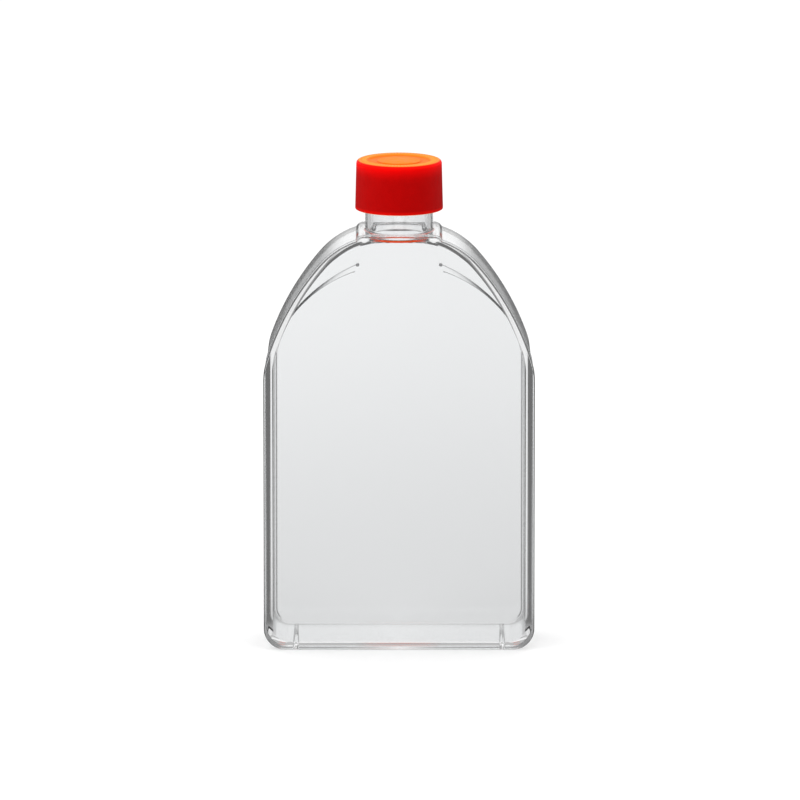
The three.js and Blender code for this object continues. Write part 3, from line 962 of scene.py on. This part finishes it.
def surroundings(tree, place, backdrop, gloss, lights=False):
    """Brightness of the studio as a share of what it is to the eye, by the way light came to it:
    1 with no flask between, backdrop straight through the flask, gloss mirrored by its outside, and
    a ring of bright and dark cards turned aside in the plastic. With lights, what a surface scatters
    on is never dimmed."""
    path = tree.nodes.new("ShaderNodeLightPath").outputs
    reflected = math_node(tree, "GREATER_THAN", path["Glossy Depth"], 0.5)
    entered = math_node(tree, "GREATER_THAN", path["Transmission Depth"], 0.5)
    through_four = math_node(tree, "COMPARE", path["Transmission Depth"], 4.0, 0.5)
    outside = math_node(tree, "SUBTRACT", 1.0, entered)
    straight = product(tree, math_node(tree, "MAXIMUM", outside, through_four),
                       math_node(tree, "SUBTRACT", 1.0, reflected))
    x, y, z = split_xyz(tree, place)
    wave = math_node(tree, "COSINE", product(tree, math_node(tree, "ARCTAN2", y, x), CARDS))
    cards = map_range(tree, wave, -0.95, -0.35, DARK_CARD, BRIGHT_CARD)
    far = map_range(tree, length_of(tree, place), CARDS_FROM, CARDS_FULL, smooth=False)
    ring = blend(tree, far, NEAR_FLOOR, cards)
    across = product(tree, x, x)
    flat = math_node(tree, "ADD", across, product(tree, y, y))
    sideways = math_node(tree, "DIVIDE", across, math_node(tree, "MAXIMUM", flat, 1e-6))
    flagged = product(tree, ring, math_node(tree, "SUBTRACT", 1.0,
                                            product(tree, sideways, FLAG_LOSS)))
    # light that was trapped comes out grey, and brighter from above and below
    trapped = math_node(tree, "GREATER_THAN", path["Glossy Depth"], TRAPPED)
    grey = map_range(tree, math_node(tree, "ABSOLUTE", z), 0.2, 0.8, 0.16, 0.5)
    inside = blend(tree, trapped, flagged, grey)
    turned_aside = blend(tree, product(tree, outside, reflected), inside, gloss)
    seen = blend(tree, straight, turned_aside, blend(tree, through_four, 1.0, backdrop))
    if not lights:
        return seen
    scattered = math_node(tree, "SUBTRACT", path["Ray Depth"],
                          math_node(tree, "ADD", path["Glossy Depth"],
                                    path["Transmission Depth"]))
    return blend(tree, math_node(tree, "GREATER_THAN", scattered, 1.5), seen, 1.0)


def make_floor():
    """A white floor. By way of the plastic it is seen as a lit card, without shadows."""
    mesh = bpy.data.meshes.new("floor")
    corners = [(-1, -1), (1, -1), (1, 1), (-1, 1)]
    mesh.from_pydata([(x * FLOOR_HALF, y * FLOOR_HALF, 0) for x, y in corners], [],
                     [(0, 1, 2, 3)])
    floor = bpy.data.objects.new("floor", mesh)
    bpy.context.scene.collection.objects.link(floor)
    material, tree, shader = principled("floor")
    shader.inputs["Base Color"].default_value = (0.9, 0.9, 0.9, 1)
    shader.inputs["Roughness"].default_value = 0.9
    shader.inputs["Specular IOR Level"].default_value = 0.0
    place = tree.nodes.new("ShaderNodeNewGeometry").outputs["Position"]
    # painted shade as the flask shows the floor: darker near the flask and brighter with distance, and a
    # little darker towards the right
    depth = map_range(tree, length_of(tree, place), 0.05, 0.95, 0.825, 1.01)
    skew = map_range(tree, split_xyz(tree, place)[0], -0.06, 0.06, 1.015, 0.985)
    glow = tree.nodes.new("ShaderNodeEmission")
    tree.links.new(surroundings(tree, place, product(tree, depth, skew), FLOOR_GLOSS),
                   glow.inputs["Strength"])
    path = tree.nodes.new("ShaderNodeLightPath").outputs
    turned = math_node(tree, "ADD", path["Glossy Depth"], path["Transmission Depth"])
    surface = shader_mix(tree, math_node(tree, "GREATER_THAN", turned, 0.5),
                         shader.outputs[0], glow.outputs[0])
    tree.links.new(surface, tree.nodes["Material Output"].inputs["Surface"])
    floor.data.materials.append(material)


def make_world():
    """White all round. Through the flask it darkens just over the horizon, and mirrored by the
    flask's outside it brightens there."""
    world = bpy.data.worlds.new("studio")
    bpy.context.scene.world = world
    world.use_nodes = True
    tree = world.node_tree
    background = tree.nodes["Background"]
    direction = tree.nodes.new("ShaderNodeTexCoord").outputs["Generated"]
    height = split_xyz(tree, direction)[2]
    backdrop = map_range(tree, height, -0.01, 0.035, 0.85, 0.03)
    gloss = map_range(tree, height, -0.03, 0.12, 0.15, 0.9)
    seen = surroundings(tree, direction, backdrop, gloss, lights=True)
    tree.links.new(product(tree, seen, WALL_LIGHT), background.inputs["Strength"])
    background.inputs["Color"].default_value = (1, 1, 1, 1)


def area_light(name, place, target, size, power):
    """A square lamp that only lights: neither mirrors nor clear plastic show it."""
    light = bpy.data.lights.new(name, "AREA")
    light.shape = "RECTANGLE"
    light.size = light.size_y = size
    light.energy = power
    holder = bpy.data.objects.new(name, light)
    bpy.context.scene.collection.objects.link(holder)
    holder.visible_glossy = False
    holder.visible_transmission = False
    holder.location = place
    holder.rotation_euler = (Vector(target) - Vector(place)).to_track_quat("-Z", "Y").to_euler()


CAMERA_PITCH = math.radians(11.25)  # downwards
CAMERA_AIM = Vector((0.0004, -0.020, 0.1112))
CAMERA_DISTANCE = 5.0


def make_camera():
    forward = Vector((0, math.cos(CAMERA_PITCH), -math.sin(CAMERA_PITCH)))
    camera = bpy.data.cameras.new("camera")
    camera.lens = 518.0
    camera.sensor_width = 36
    camera.clip_end = 50
    holder = bpy.data.objects.new("camera", camera)
    bpy.context.scene.collection.objects.link(holder)
    holder.location = CAMERA_AIM - forward * CAMERA_DISTANCE
    holder.rotation_euler = forward.to_track_quat("-Z", "Y").to_euler()
    bpy.context.scene.camera = holder


make_floor()
make_world()
make_camera()
area_light("key", (-0.5, -0.4, 1.5), (0, 0, 0.1), 1.0, 4)
area_light("side", (-1.3, -0.7, 0.55), (0, 0, 0.15), 0.8, 5)

bpy.context.scene.view_settings.view_transform = "Standard"
